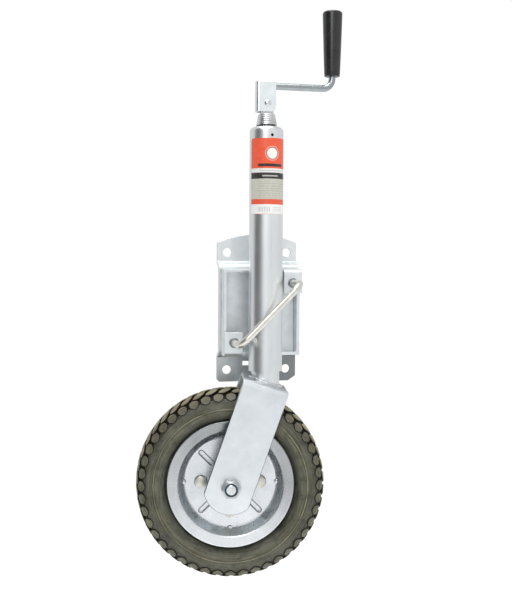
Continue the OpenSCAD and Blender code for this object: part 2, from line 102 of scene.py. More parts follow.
# ---------------------------------------------------------------- materials
class Graph:
    """A material's node tree, with short calls for the nodes used here."""

    def __init__(self, name, **shader):
        self.material = bpy.data.materials.new(name)
        self.material.use_nodes = True
        self.tree = self.material.node_tree
        self.tree.nodes.clear()
        self.shader = self.node("ShaderNodeBsdfPrincipled")
        output = self.node("ShaderNodeOutputMaterial")
        self.link(self.shader.outputs["BSDF"], output.inputs["Surface"])
        for socket, value in shader.items():
            self.shader.inputs[socket.replace("_", " ")].default_value = value
        self.point = self.node("ShaderNodeTexCoord").outputs["Object"]

    def node(self, kind, **settings):
        made = self.tree.nodes.new(kind)
        for key, value in settings.items():
            setattr(made, key, value)
        return made

    def link(self, source, target):
        self.tree.links.new(source, target)

    def put(self, value, socket):
        if isinstance(value, bpy.types.NodeSocket):
            self.link(value, socket)
        else:
            socket.default_value = value

    def math(self, operation, a, b=0.0):
        made = self.node("ShaderNodeMath", operation=operation)
        for value, socket in zip((a, b), made.inputs):
            self.put(value, socket)
        return made.outputs[0]

    def vector(self, operation, a, b):
        made = self.node("ShaderNodeVectorMath", operation=operation)
        self.put(a, made.inputs[0])
        self.put(b, made.inputs[1])
        return made.outputs[0]

    def stretched(self, scale):
        return self.vector("MULTIPLY", self.point, scale)

    def split(self, vector):
        return self.node_with(vector, "ShaderNodeSeparateXYZ").outputs

    def node_with(self, value, kind, **settings):
        made = self.node(kind, **settings)
        self.link(value, made.inputs[0])
        return made

    def noise(self, scale, detail=3.0, rough=0.55, vector=None):
        made = self.node("ShaderNodeTexNoise")
        self.link(vector or self.point, made.inputs["Vector"])
        made.inputs["Scale"].default_value = scale
        made.inputs["Detail"].default_value = detail
        made.inputs["Roughness"].default_value = rough
        return made.outputs["Fac"]

    def remap(self, value, low, high, to_low=0.0, to_high=1.0):
        made = self.node_with(value, "ShaderNodeMapRange")
        for socket, number in zip(made.inputs[1:5], (low, high, to_low, to_high)):
            socket.default_value = number
        return made.outputs[0]

    def ramp(self, value, stops, mode="LINEAR"):
        made = self.node_with(value, "ShaderNodeValToRGB")
        ramp = made.color_ramp
        ramp.interpolation = mode
        while len(ramp.elements) < len(stops):
            ramp.elements.new(0.5)
        for element, (place, colour) in zip(ramp.elements, stops):
            element.position = place
            element.color = (*colour, 1.0)
        return made.outputs["Color"]

    def mix(self, factor, a, b, blend="MIX"):
        made = self.node("ShaderNodeMix", data_type="RGBA", blend_type=blend)
        self.put(factor, made.inputs["Factor"])
        for value, socket in ((a, made.inputs["A"]), (b, made.inputs["B"])):
            self.put((*value, 1.0) if isinstance(value, tuple) else value, socket)
        return made.outputs["Result"]

    def bump(self, height, strength, depth_mm):
        made = self.node("ShaderNodeBump")
        made.inputs["Strength"].default_value = strength
        made.inputs["Distance"].default_value = depth_mm * MM
        self.link(height, made.inputs["Height"])
        if self.shader.inputs["Normal"].is_linked:
            self.link(self.shader.inputs["Normal"].links[0].from_socket, made.inputs["Normal"])
        self.link(made.outputs["Normal"], self.shader.inputs["Normal"])

    def colour(self, value):
        self.put(value, self.shader.inputs["Base Color"])

    def roughness(self, value):
        self.put(value, self.shader.inputs["Roughness"])


def wheel_polar(g):
    """Angle about the axle, radius in millimetres and depth, from the row frame's coordinates."""
    centre = WHEEL.translation
    spin = g.node("ShaderNodeVectorRotate", rotation_type="Z_AXIS")
    g.link(g.vector("SUBTRACT", g.point, tuple(centre)), spin.inputs["Vector"])
    spin.inputs["Angle"].default_value = -math.radians(CASTOR_AT)
    x, y, z = g.split(spin.outputs[0])
    radius = g.math("MULTIPLY", g.math("SQRT", g.math("ADD", g.math("MULTIPLY", x, x), g.math("MULTIPLY", z, z))),
                    1000.0)
    return g.math("ARCTAN2", z, x), radius, y


def plated(name, light, dark, rough, mottle=45.0, bump=0.10, grain=(1.0, 1.0, 1.0), stain=None, painted_lug_shade=None,
           sweep=None, painted_edge_shade=None):
    """Metal with a mottled plating: colour and roughness drift over centimetres, with a fine tooth on top.

    stain adds spots of a third colour. The last three paint light and shade, in the order given: the first paints shade
    on the plate's lower lug, darker towards its right side; the second paints the rim flange's reflections and shade by
    angle round the wheel, with painted shade on its inner part by the disc; the third paints shade on the edges of the
    fork's legs. Those three give the share of the tone that is left.
    """
    g = Graph(name, Metallic=1.0)
    cloud = g.noise(mottle, 5.0, 0.6, g.stretched(grain))
    colour = g.mix(g.remap(cloud, 0.30, 0.72), dark, light)
    if stain:
        spots = g.remap(g.noise(mottle * 0.45, 4.0, 0.7), 0.52, 0.80, 0.0, 0.55)
        colour = g.mix(spots, colour, stain)
    # painted shade: the plate's lower lug is darkened, more so towards its right side
    if painted_lug_shade:
        x, _, z = g.split(g.point)
        low = g.remap(z, LUG_TOP - 0.006, LUG_TOP, 1.0, 0.0)
        aside = g.remap(x, -0.045, 0.020, 0.12, 1.0)
        colour = g.mix(g.math("MULTIPLY", low, aside), colour,
                       g.mix(1.0, colour, (painted_lug_shade, painted_lug_shade * 1.02, painted_lug_shade * 1.04), "MULTIPLY"))
    # painted shade on the fork legs' edges: faces turned away from the leg's face are darkened, below the bridge
    if painted_edge_shade:
        turn = math.radians(CASTOR_AT)
        face = g.node("ShaderNodeVectorMath", operation="DOT_PRODUCT")
        g.link(g.node("ShaderNodeTexCoord").outputs["Normal"], face.inputs[0])
        face.inputs[1].default_value = (-math.sin(turn), math.cos(turn), 0.0)
        edge = g.remap(g.math("ABSOLUTE", face.outputs["Value"]), 0.75, 0.985, 1.0, 0.0)
        edge = g.math("MULTIPLY", edge, g.remap(g.split(g.point)[2], LEGS_TOP - 0.010, LEGS_TOP, 1.0, 0.0))
        colour = g.mix(edge, colour, g.mix(1.0, colour, (painted_edge_shade, painted_edge_shade * 1.03, painted_edge_shade * 1.06), "MULTIPLY"))
    # painted reflections and shade: the rim flange's tone is set by angle round the wheel, and its inner part by the
    # disc is darkened
    if sweep:
        angle, radius, _ = wheel_polar(g)
        tone = g.ramp(g.remap(angle, -math.pi, math.pi), [((a + 180.0) / 360.0, (t, t, t)) for a, t in sweep])
        inside = g.mix(1.0, colour, (0.80, 0.80, 0.81), "MULTIPLY")
        colour = g.mix(g.remap(radius, 65.0, 69.0), inside, g.mix(1.0, colour, tone, "MULTIPLY"))
    speck = g.remap(g.noise(520.0, 2.0), 0.60, 0.74, 0.0, 0.16)
    g.colour(g.mix(speck, colour, tuple(0.55 * c for c in dark)))
    g.roughness(g.remap(g.noise(mottle * 2.2, 4.0, 0.6, g.stretched(grain)), 0.25, 0.75, rough[0], rough[1]))
    g.bump(g.noise(1400.0, 2.0), bump, 0.05)
    g.bump(g.noise(mottle * 1.6, 3.0), bump * 1.6, 0.30)
    return g.material


def brushed_tube(name):
    """Bright drawn tube: fine lines run along its length."""
    g = Graph(name, Metallic=1.0)
    lines = g.noise(900.0, 3.0, 0.6, g.stretched((1.0, 1.0, 0.02)))
    cloud = g.noise(22.0, 5.0, 0.6, g.stretched((1.0, 1.0, 0.45)))
    colour = g.mix(g.remap(cloud, 0.30, 0.72), (0.735, 0.760, 0.775), (0.860, 0.870, 0.875))
    g.colour(g.mix(g.remap(lines, 0.35, 0.70, 0.0, 0.30), colour, (0.66, 0.68, 0.70)))
    g.roughness(g.remap(cloud, 0.25, 0.75, 0.30, 0.39))
    g.bump(lines, 0.10, 0.03)
    g.bump(g.noise(34.0, 3.0, 0.5, g.stretched((1.0, 1.0, 0.35))), 0.10, 0.35)
    return g.material


def moulded(name, colour, light, rough, bump=0.12, scale=700.0):
    """Moulded plastic or rubber with a fine tooth and slow drift in gloss."""
    g = Graph(name, Specular_IOR_Level=0.5)
    cloud = g.noise(60.0, 4.0)
    g.colour(g.mix(g.remap(cloud, 0.3, 0.7), colour, light))
    g.roughness(g.remap(g.noise(120.0, 3.0), 0.3, 0.7, rough[0], rough[1]))
    g.bump(g.noise(scale, 2.0), bump, 0.08)
    return g.material


def tyre_rubber(name, stops, dust, dust_amount):
    """Weathered rubber: tone follows the radius, where some stops are painted shade or a painted highlight;
    streaks run round the wheel, dust lies in patches.
    """
    g = Graph(name, Specular_IOR_Level=0.50 if dust_amount else 0.12)
    angle, radius, depth = wheel_polar(g)
    base = g.ramp(g.remap(radius, 77.0, 134.0), [((r - 77.0) / 57.0, c) for r, c in stops])
    polar = g.node("ShaderNodeCombineXYZ")
    g.link(g.math("MULTIPLY", g.math("SINE", angle), 1.0), polar.inputs[0])
    g.link(g.math("MULTIPLY", g.math("COSINE", angle), 1.0), polar.inputs[1])
    g.link(g.math("MULTIPLY", radius, 0.16), polar.inputs[2])
    streaks = g.noise(3.2, 6.0, 0.65, polar.outputs[0])
    base = g.mix(g.remap(streaks, 0.40, 0.58, 0.0, 0.90), base, g.mix(1.0, base, (0.42, 0.41, 0.38), "MULTIPLY"))
    patches = g.remap(g.noise(38.0, 5.0, 0.7), 0.44, 0.70, 0.0, dust_amount)
    base = g.mix(patches, base, dust)
    if dust_amount:
        grime = g.remap(g.noise(46.0, 7.0, 0.75), 0.50, 0.62, 0.0, 0.62)
        base = g.mix(grime, base, g.mix(1.0, base, (0.36, 0.34, 0.28), "MULTIPLY"))
    bluish = g.remap(g.noise(17.0, 4.0, 0.6), 0.50, 0.68, 0.0, 0.55)
    base = g.mix(bluish, base, g.mix(1.0, base, (0.86, 0.94, 1.06), "MULTIPLY"))
    g.colour(base)
    g.roughness(g.remap(g.noise(90.0, 3.0), 0.3, 0.7, 0.40, 0.66))
    g.bump(g.noise(900.0, 3.0), 0.35, 0.10)
    g.bump(g.noise(130.0, 4.0), 0.30, 0.35)
    return g.material


def label_print(name):
    """A plain sticker: colour panels by height, a round blank badge, bars and thin rules, with no lettering."""
    g = Graph(name, Specular_IOR_Level=0.30)
    x, y, z = g.split(g.point)
    height = g.math("MULTIPLY", z, 1000.0)
    side = g.math("MULTIPLY", g.math("ARCTAN2", x, g.math("SUBTRACT", -AXIS_Y * MM, y)), TUBE_R)

    def between(value, low, high, soft=0.15):
        rise = g.remap(value, low - soft, low + soft)
        fall = g.remap(value, high - soft, high + soft, 1.0, 0.0)
        return g.math("MULTIPLY", rise, fall)

    def share(mm):
        return (mm - 139.0) / 109.0

    orange = (0.80, 0.105, 0.045)
    paper = (0.78, 0.78, 0.74)
    panels = g.ramp(g.remap(height, 139.0, 248.0), [
        (0.0, (0.80, 0.30, 0.27)), (share(140.7), (0.86, 0.86, 0.84)), (share(153.6), (0.76, 0.10, 0.045)),
        (share(161.0), (0.56, 0.55, 0.47)), (share(189.6), (0.035, 0.03, 0.03)), (share(198.0), paper),
        (share(204.0), orange)], "CONSTANT")
    # rules in the grey panel, broken up along their length
    rows = g.math("FRACT", g.math("MULTIPLY", height, 0.30))
    breaks = g.noise(420.0, 1.0)
    ink = g.math("MULTIPLY", g.remap(rows, 0.52, 0.60), g.remap(breaks, 0.40, 0.46))
    ink = g.math("MULTIPLY", ink, between(height, 162.5, 187.5))
    ink = g.math("MULTIPLY", ink, between(side, -17.0, 27.0, 0.6))
    panels = g.mix(g.math("MULTIPLY", ink, 0.42), panels, (0.25, 0.25, 0.23))
    # a badge and a bar on the orange panel
    across = g.math("SUBTRACT", side, 3.2)
    along = g.math("SUBTRACT", height, 225.0)
    reach = g.math("SQRT", g.math("ADD", g.math("MULTIPLY", across, across), g.math("MULTIPLY", along, along)))
    panels = g.mix(between(reach, -1.0, 10.6), panels, (0.93, 0.30, 0.22))
    panels = g.mix(between(reach, -1.0, 8.6), panels, (0.05, 0.05, 0.045))
    panels = g.mix(between(reach, -1.0, 7.7), panels, (0.88, 0.87, 0.82))
    bar = g.math("MULTIPLY", between(height, 206.6, 210.6), between(side, -17.5, 20.0))
    panels = g.mix(bar, panels, (0.03, 0.025, 0.025))
    rule = g.math("MULTIPLY", between(height, 200.4, 201.4), between(side, -15.0, 21.0))
    panels = g.mix(g.math("MULTIPLY", rule, 0.55), panels, (0.25, 0.25, 0.24))
    rule = g.math("MULTIPLY", between(height, 192.8, 194.4), between(side, -11.0, 12.0))
    panels = g.mix(g.math("MULTIPLY", rule, 0.70), panels, (0.75, 0.74, 0.70))
    # plain upright bars in the lower white field
    stripes = g.remap(g.math("FRACT", g.math("MULTIPLY", side, 0.42)), 0.50, 0.58)
    field = g.math("MULTIPLY", between(height, 143.4, 150.2), between(side, -17.5, 0.0))
    stripes = g.math("MULTIPLY", stripes, field)
    panels = g.mix(g.math("MULTIPLY", stripes, 0.60), panels, (0.35, 0.35, 0.35))
    lines = g.remap(g.math("FRACT", g.math("MULTIPLY", height, 0.42)), 0.50, 0.60)
    lines = g.math("MULTIPLY", lines, g.math("MULTIPLY", between(height, 143.4, 151.0), between(side, 4.0, 19.0)))
    panels = g.mix(g.math("MULTIPLY", lines, 0.45), panels, (0.35, 0.35, 0.35))
    faded = g.remap(g.noise(70.0, 5.0, 0.7), 0.35, 0.75, 0.0, 0.05)
    g.colour(g.mix(faded, panels, (0.90, 0.86, 0.82)))
    g.roughness(g.remap(g.noise(80.0, 3.0), 0.3, 0.7, 0.22, 0.38))
    g.bump(g.noise(160.0, 3.0), 0.10, 0.12)
    return g.material


ZINC_SHEET = plated("zinc_sheet_finish", (0.835, 0.870, 0.885), (0.690, 0.730, 0.750), (0.36, 0.54))
# painted shade: the plate's zinc, with shade painted on its lower lug
ZINC_PLATE = plated("zinc_plate_painted_shade", (0.850, 0.885, 0.895), (0.740, 0.775, 0.790), (0.36, 0.54), painted_lug_shade=0.32)
# painted shade: the fork's zinc, with shade painted on the edges of its legs
ZINC_FORK = plated("zinc_fork_painted_edge_shade", (0.780, 0.815, 0.840), (0.660, 0.700, 0.730), (0.26, 0.42), mottle=34.0,
                   painted_edge_shade=0.22)
# painted shade: a dark zinc for the slot lips, the rings under the rim bolts' heads and the tab eyelets, as shaded
# outlines
ZINC_SHADE = plated("zinc_painted_shade", (0.300, 0.320, 0.335), (0.200, 0.215, 0.225), (0.30, 0.45), mottle=60.0)
ZINC_NUT = plated("zinc_nut_finish", (0.660, 0.680, 0.675), (0.380, 0.395, 0.400), (0.28, 0.40), mottle=150.0)
ZINC_BRIGHT = plated("zinc_rim_finish", (0.760, 0.790, 0.810), (0.620, 0.650, 0.675), (0.20, 0.36), mottle=30.0)
# painted reflections and shade: these stops make the flange light below and dark at the top
ZINC_FLANGE = plated("zinc_flange_painted_reflection", (0.930, 0.955, 0.975), (0.800, 0.830, 0.850), (0.20, 0.34), mottle=30.0,
                     sweep=[(-180, 0.62), (-120, 0.95), (-60, 0.95), (0, 0.47), (60, 0.42), (90, 0.36), (130, 0.38),
                            (180, 0.62)])
ZINC_CLEVIS = plated("zinc_clevis_finish", (0.900, 0.945, 0.955), (0.800, 0.850, 0.865), (0.26, 0.42))
ZINC_TUBE = brushed_tube("zinc_tube_finish")
ZINC_CREAM = plated("yellow_zinc_finish", (0.800, 0.790, 0.725), (0.620, 0.610, 0.560), (0.24, 0.42), mottle=110.0,
                    stain=(0.50, 0.48, 0.42))
# painted shade: the crank arm's zinc is a darker copy of the plating
ZINC_ARM_SHADED = plated("zinc_arm_painted_shade", (0.415, 0.448, 0.462), (0.330, 0.358, 0.370), (0.22, 0.34), mottle=70.0)
ZINC_BOLT = plated("zinc_bolt_finish", (0.740, 0.735, 0.665), (0.520, 0.515, 0.465), (0.36, 0.50), mottle=150.0)
STEEL = plated("bright_steel_finish", (0.800, 0.810, 0.815), (0.600, 0.615, 0.625), (0.16, 0.32), mottle=80.0)
STEEL_GROUND = plated("bearing_steel_finish", (0.640, 0.640, 0.640), (0.480, 0.480, 0.480), (0.18, 0.30), mottle=90.0)
STEEL_OILED = plated("oiled_race_finish", (0.060, 0.055, 0.050), (0.030, 0.028, 0.026), (0.30, 0.50), mottle=90.0)
WELD = plated("weld_metal_finish", (0.800, 0.820, 0.830), (0.520, 0.535, 0.545), (0.30, 0.50), mottle=160.0, bump=0.3)
BRONZE = plated("bronze_finish", (0.720, 0.500, 0.250), (0.520, 0.340, 0.160), (0.22, 0.40), mottle=80.0)
BLACK_PLASTIC = moulded("black_plastic_finish", (0.010, 0.010, 0.011), (0.020, 0.020, 0.021), (0.16, 0.27), 0.06)
BLACK_RUBBER = moulded("black_rubber_finish", (0.016, 0.016, 0.016), (0.030, 0.030, 0.029), (0.50, 0.70), 0.25)
NYLON = moulded("blue_nylon_finish", (0.010, 0.055, 0.095), (0.018, 0.085, 0.135), (0.25, 0.40), 0.08)
# painted shade: near-black rubber for the tread's grooves and the lugs' sides, where shade falls
TREAD_GROOVE_SHADE = tyre_rubber("tyre_groove_painted_shade", [(77, (0.007, 0.0065, 0.005)), (134, (0.008, 0.007, 0.005))],
                           (0.008, 0.007, 0.005), 0.0)
TREAD_TOP = tyre_rubber("tyre_tread_finish", [(77, (0.13, 0.123, 0.082)), (124, (0.125, 0.118, 0.078)),
                                              (128, (0.16, 0.144, 0.088)), (131, (0.27, 0.235, 0.140)),
                                              (134, (0.40, 0.355, 0.215))], (0.20, 0.182, 0.120), 0.5)
# painted shade near-black by the rim and towards the shoulder; painted highlight on the bead ring with painted shade at
# each side; olive between is the rubber's tone
SIDEWALL = tyre_rubber("tyre_rubber_tone_and_painted_shade", [
    (77, (0.012, 0.012, 0.009)), (91, (0.020, 0.020, 0.015)), (93.5, (0.070, 0.071, 0.052)),
    (99, (0.112, 0.113, 0.074)), (105, (0.140, 0.137, 0.085)), (107, (0.070, 0.064, 0.037)),
    (107.6, (0.30, 0.285, 0.175)), (108.4, (0.29, 0.275, 0.165)), (109.3, (0.060, 0.055, 0.034)),
    (110.5, (0.108, 0.106, 0.070)), (116, (0.100, 0.098, 0.066)), (119, (0.082, 0.079, 0.053)),
    (122, (0.052, 0.049, 0.032)), (126, (0.016, 0.015, 0.010))], (0.170, 0.168, 0.128), 0.40)


# ---------------------------------------------------------------- mesh building
class Shape:
    """Vertices in millimetres, faces, and a material number for each face."""

    def __init__(self):
        self.verts = []
        self.faces = []
        self.kinds = []

    def add(self, verts, faces, kind=0, matrix=None):
        start = len(self.verts)
        for v in verts:
            v = Vector(v)
            self.verts.append((matrix @ (v * MM)) if matrix else v * MM)
        for i, face in enumerate(faces):
            self.faces.append([start + k for k in face])
            self.kinds.append(kind[i] if isinstance(kind, (list, tuple)) else kind)

    def rings(self, rings, closed_round=True, closed_through=False, caps=False, kind=0, matrix=None):
        """Joins rings of equal length into a skin."""
        count = len(rings[0])
        verts = [p for ring in rings for p in ring]
        faces = []
        last = len(rings) if closed_through else len(rings) - 1
        around = count if closed_round else count - 1
        for i in range(last):
            a, b = i * count, ((i + 1) % len(rings)) * count
            for k in range(around):
                n = (k + 1) % count
                faces.append((a + k, a + n, b + n, b + k))
        kinds = [kind] * len(faces) if not isinstance(kind, list) else \
            [kind[i] for i in range(last) for _ in range(around)]
        if caps:
            faces.append(tuple(range(count))[::-1])
            faces.append(tuple(range(len(verts) - count, len(verts))))
            kinds += [kinds[0], kinds[-1]]
        self.add(verts, faces, kinds, matrix)

    def lathe(self, profile, segments=96, matrix=None, closed=False, kind=0):
        """Turns (radius, height) about +Z. A closed profile makes a ring."""
        rings = []
        for i in range(segments):
            a = math.radians(360.0 * i / segments)
            rings.append([(r * math.cos(a), r * math.sin(a), h) for r, h in profile])
        self.rings(rings, closed_round=closed, closed_through=True, kind=kind, matrix=matrix)

    def polar(self, rings, count=72, matrix=None, kind=0, capped=True):
        """Rings given as functions of the angle in degrees, each returning (radius, height)."""
        angles = [360.0 * k / count for k in range(count)]
        made = []
        for ring in rings:
            row = []
            for a in angles:
                r, h = ring(a)
                row.append((r * math.cos(math.radians(a)), r * math.sin(math.radians(a)), h))
            made.append(row)
        self.rings(made, closed_through=not capped, caps=capped, kind=kind, matrix=matrix)

    def sweep(self, path, radius, sides=12, matrix=None, kind=0):
        """A round bar along a path; radius is a number or a function of the share of the way along it."""
        pts = [Vector(p) for p in path]
        up = Vector((0.0, 0.0, 1.0)) if abs((pts[1] - pts[0]).normalized().z) < 0.9 else Vector((1.0, 0.0, 0.0))
        rings = []
        for i, p in enumerate(pts):
            along = (pts[min(i + 1, len(pts) - 1)] - pts[max(i - 1, 0)]).normalized()
            side = along.cross(up).normalized()
            up = side.cross(along).normalized()
            r = radius(i / (len(pts) - 1)) if callable(radius) else radius
            rings.append([p + r * (side * math.cos(t) + up * math.sin(t))
                          for t in (2 * math.pi * k / sides for k in range(sides))])
        self.rings(rings, caps=True, kind=kind, matrix=matrix)

    def loop(self, path, radius, sides, matrix):
        """A round bead along a closed path that lies flat in XY."""
        pts = [Vector(p) for p in path]
        rings = []
        for i, p in enumerate(pts):
            along = (pts[(i + 1) % len(pts)] - pts[i - 1]).normalized()
            side = Vector((along.y, -along.x, 0.0))
            rings.append([p + radius * (side * math.cos(t) + Vector((0.0, 0.0, math.sin(t))))
                          for t in (2 * math.pi * k / sides for k in range(sides))])
        self.rings(rings, closed_through=True, matrix=matrix)

    def done(self, name, body, slot_name, *materials, stands_for=(), angle=35.0, bevel=0.0):
        """Links the shape as a piece that rides on a body."""
        mesh = bpy.data.meshes.new(name)
        mesh.from_pydata(self.verts, [], self.faces)
        for m in materials:
            mesh.materials.append(m)
        mesh.polygons.foreach_set("material_index", self.kinds)
        bm = bmesh.new()
        bm.from_mesh(mesh)
        bmesh.ops.remove_doubles(bm, verts=bm.verts, dist=1e-7)
        bmesh.ops.dissolve_degenerate(bm, dist=1e-7, edges=bm.edges)
        bmesh.ops.recalc_face_normals(bm, faces=bm.faces)
        bm.to_mesh(mesh)
        bm.free()
        mesh.validate()
        mesh.shade_smooth()
        mesh.set_sharp_from_angle(angle=math.radians(angle))
        obj = bpy.data.objects.new(name, mesh)
        scene.collection.objects.link(obj)
        if bevel:
            soften(obj, bevel)
        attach(obj, body)
        if stands_for:
            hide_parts(*stands_for)
        return obj


def soften(obj, width_mm):
    """Rounds a sheet-metal or machined part's sharp edges."""
    weld = obj.modifiers.new("weld", "WELD")
    weld.merge_threshold = 2e-6
    flat = obj.modifiers.new("flat", "DECIMATE")
    flat.decimate_type = "DISSOLVE"
    flat.angle_limit = math.radians(0.6)
    bevel = obj.modifiers.new("bevel", "BEVEL")
    bevel.width = width_mm * MM
    bevel.segments = 2
    bevel.limit_method = "ANGLE"
    bevel.angle_limit = math.radians(32)
    bevel.use_clamp_overlap = False
    bevel.miter_outer = "MITER_SHARP"
    weighted = obj.modifiers.new("weighted", "WEIGHTED_NORMAL")
    weighted.weight = 80
    weighted.keep_sharp = False


def finish_node(name, material, bevel=0.0):
    """Gives a CAD node its finish, and rounds its edges if asked."""
    obj = NODES[name]
    obj.data.materials.clear()
    obj.data.materials.append(material)
    if bevel:
        normals = obj.data.attributes.get("custom_normal")
        if normals:
            obj.data.attributes.remove(normals)
        obj.data.shade_smooth()
        soften(obj, bevel)


def hexagon(flats):
    """Distance from the middle to a hexagon's side, by angle, with a corner at 0."""
    return lambda a: flats / 2 / math.cos(math.radians((a % 60) - 30))


def hex_rings(flats, low, high, bore=None, chamfer_low=True):
    """A hexagon's rings from bore or middle, with the corners turned off at 30 degrees."""
    reach = hexagon(flats)
    turned_r = flats * 0.475
    slope = math.tan(math.radians(30))

    def drop(a):
        return (reach(a) - turned_r) * slope

    rings = [lambda a: (min(reach(a), turned_r), low),
             (lambda a: (reach(a), low + drop(a))) if chamfer_low else (lambda a: (reach(a), low + 0.05)),
             lambda a: (reach(a), high - drop(a)),
             lambda a: (min(reach(a), turned_r), high)]
    if bore:
        rings += [lambda a: (bore + 0.8, high), lambda a: (bore, high - 0.8),
                  lambda a: (bore, low + 0.8), lambda a: (bore + 0.8, low)]
    return rings


def threaded(radius, low, high, pitch, tip=1.2):
    """Outline (radius, height) of a threaded bolt end, up to its chamfered tip at height high."""
    depth = 0.55 * pitch
    points = []
    h = low
    while h + pitch < high - tip:
        points += [(radius, h + 0.12 * pitch), (radius, h + 0.30 * pitch), (radius - depth, h + 0.66 * pitch),
                   (radius - depth, h + 0.76 * pitch)]
        h += pitch
    return points + [(radius - 0.2 * depth, high - tip), (radius - tip, high), (0.0, high)]


def rounded(points, radius, steps=4):
    """Rounds the corners of an open (radius, height) outline."""
    out = [points[0]]
    for a, b, c in zip(points, points[1:], points[2:]):
        a, b, c = Vector(a), Vector(b), Vector(c)
        cut = min(radius, (a - b).length * 0.45, (c - b).length * 0.45)
        p, q = b + (a - b).normalized() * cut, b + (c - b).normalized() * cut
        for k in range(steps + 1):
            t = k / steps
            out.append(tuple(p * (1 - t) ** 2 + b * 2 * t * (1 - t) + q * t ** 2))
    return out + [points[-1]]


# ---------------------------------------------------------------- CAD nodes that keep their shape
FINISHES = {
    "mounting_plate": (ZINC_PLATE, 0.7), "swivel_tray": (ZINC_SHEET, 0.8), "lock_tab_upper": (ZINC_SHEET, 0.6),
    "lock_tab_lower": (ZINC_SHEET, 0.6), "crank_clevis": (ZINC_CLEVIS, 0.5), "fork": (ZINC_FORK, 1.4),
    "rim_front": (ZINC_BRIGHT, 0), "rim_back": (ZINC_BRIGHT, 0), "hub_disc": (ZINC_BRIGHT, 0),
    "pivot_washer": (BLACK_PLASTIC, 0), "pivot_nut_washer": (STEEL, 0), "outer_tube": (ZINC_TUBE, 0),
    "top_bush": (BLACK_PLASTIC, 0), "upper_race": (STEEL_OILED, 0), "lower_race": (STEEL_OILED, 0),
    "lower_bush": (BLACK_PLASTIC, 0), "lock_rod": (ZINC_CREAM, 0), "lock_pins": (STEEL, 0),
    "lock_collars": (STEEL, 0), "jack_screw": (STEEL, 0), "bearing_cage": (BRONZE, 0), "crank_arm": (ZINC_ARM_SHADED, 0),
    "grip_clip": (STEEL, 0), "jack_nut": (BRONZE, 0), "swivel_washer": (BRONZE, 0), "nut_retainer": (STEEL_GROUND, 0),
    "inner_tube": (ZINC_TUBE, 0), "swivel_plug": (STEEL_GROUND, 0), "axle_washers": (STEEL, 0),
    "axle_spacers": (STEEL, 0), "bearing_inner_rings": (STEEL_GROUND, 0), "inner_sleeve": (STEEL_GROUND, 0),
    "hub": (ZINC_SHEET, 0), "bearing_outer_rings": (STEEL_GROUND, 0), "bearing_balls": (STEEL_GROUND, 0),
    "dust_covers": (BLACK_RUBBER, 0), "air_tube": (BLACK_RUBBER, 0), "valve_stem": (BLACK_RUBBER, 0),
    "valve_cap": (BLACK_PLASTIC, 0), "grip_plug": (BLACK_PLASTIC, 0),
}
for node_name, (node_material, edge) in FINISHES.items():
    finish_node(node_name, node_material, edge)


# ---------------------------------------------------------------- tyre
HALF_SKIN = [(130.5, 0.0), (130.4, 6.0), (129.9, 13.0), (129.0, 20.0), (127.4, 26.4), (125.3, 30.6), (122.6, 33.5),
             (119.8, 35.3), (116.9, 36.2), (113.5, 36.5), (110.2, 36.5), (109.0, 36.8), (108.5, 37.5), (107.4, 37.5),
             (106.9, 36.7), (105.0, 36.5), (101.5, 35.6), (98.0, 33.7), (95.2, 30.8), (93.5, 27.4), (92.3, 24.6),
             (91.0, 23.2), (84.0, 22.7), (77.6, 22.4)]
HALF_INSIDE = [(77.6, 16.2), (92.0, 17.2), (107.0, 29.6), (115.0, 28.4), (122.5, 20.0), (124.4, 0.0)]
TREAD_EDGE = 6    # the skin's points up to this one lie under the tread
PITCHES = 44
WALL, TOP, GROOVE_SHADE = 0, 1, 2    # the tyre's material numbers


def skin_at(v):
    """Point (radius, depth) of the tyre's skin at a distance v from the crown's middle; v < 0 is the back."""
    side = -1.0 if v < 0 else 1.0
    left = abs(v)
    for (r0, d0), (r1, d1) in zip(HALF_SKIN, HALF_SKIN[1:]):
        length = math.hypot(r1 - r0, d1 - d0)
        if left <= length:
            t = left / length
            return Vector((r0 + (r1 - r0) * t, side * (d0 + (d1 - d0) * t)))
        left -= length
    return Vector(HALF_SKIN[-1])


def skin_frame(v):
    """Point on the skin at v, and the normal that points out of the tyre."""
    here = skin_at(v)
    along = (skin_at(v + 1.5) - skin_at(v - 1.5)).normalized()
    normal = Vector((-along.y, along.x))
    if normal.x < 0 and abs(v) < 30 or normal.y * (1 if v > 0 else -1) < 0 <= abs(v) - 30:
        normal = -normal
    return here, normal


def lug(shape, angle, v0, outline, height, hollow=0.0):
    """One moulded lug, with outline points (mm round the wheel, mm across the skin) about its middle."""
    # the lug's sides take the groove rubber, painted shade; only its top takes the tread rubber
    rounds = [(1.10, -1.2, GROOVE_SHADE), (1.04, 0.3, GROOVE_SHADE), (1.0, height - 0.75, GROOVE_SHADE), (0.92, height, TOP)]
    if hollow:
        rounds += [(0.74, height, TOP), (0.60, height - hollow, TOP)]
    rounds += [(0.45, height - hollow, TOP), (0.15, height - hollow, TOP)]
    radius0 = skin_at(v0).x
    rings = []
    for scale, lift, _ in rounds:
        row = []
        for du, dv in outline:
            here, normal = skin_frame(v0 + dv * scale)
            a = angle + du * scale / radius0
            r = here.x + normal.x * lift
            row.append((r * math.cos(a), r * math.sin(a), here.y + normal.y * lift))
        rings.append(row)
    shape.rings(rings, caps=True, kind=[k for _, _, k in rounds[1:]], matrix=WHEEL @ TO_FRONT)


def super_outline(half_u, half_v, power, slant, count=28):
    """A rounded block outline, leaning round the wheel by slant."""
    points = []
    for k in range(count):
        t = 2 * math.pi * k / count
        c, s = math.cos(t), math.sin(t)
        u = half_u * math.copysign(abs(c) ** (2 / power), c)
        v = half_v * math.copysign(abs(s) ** (2 / power), s)
        points.append((u + slant * v, v))
    return points


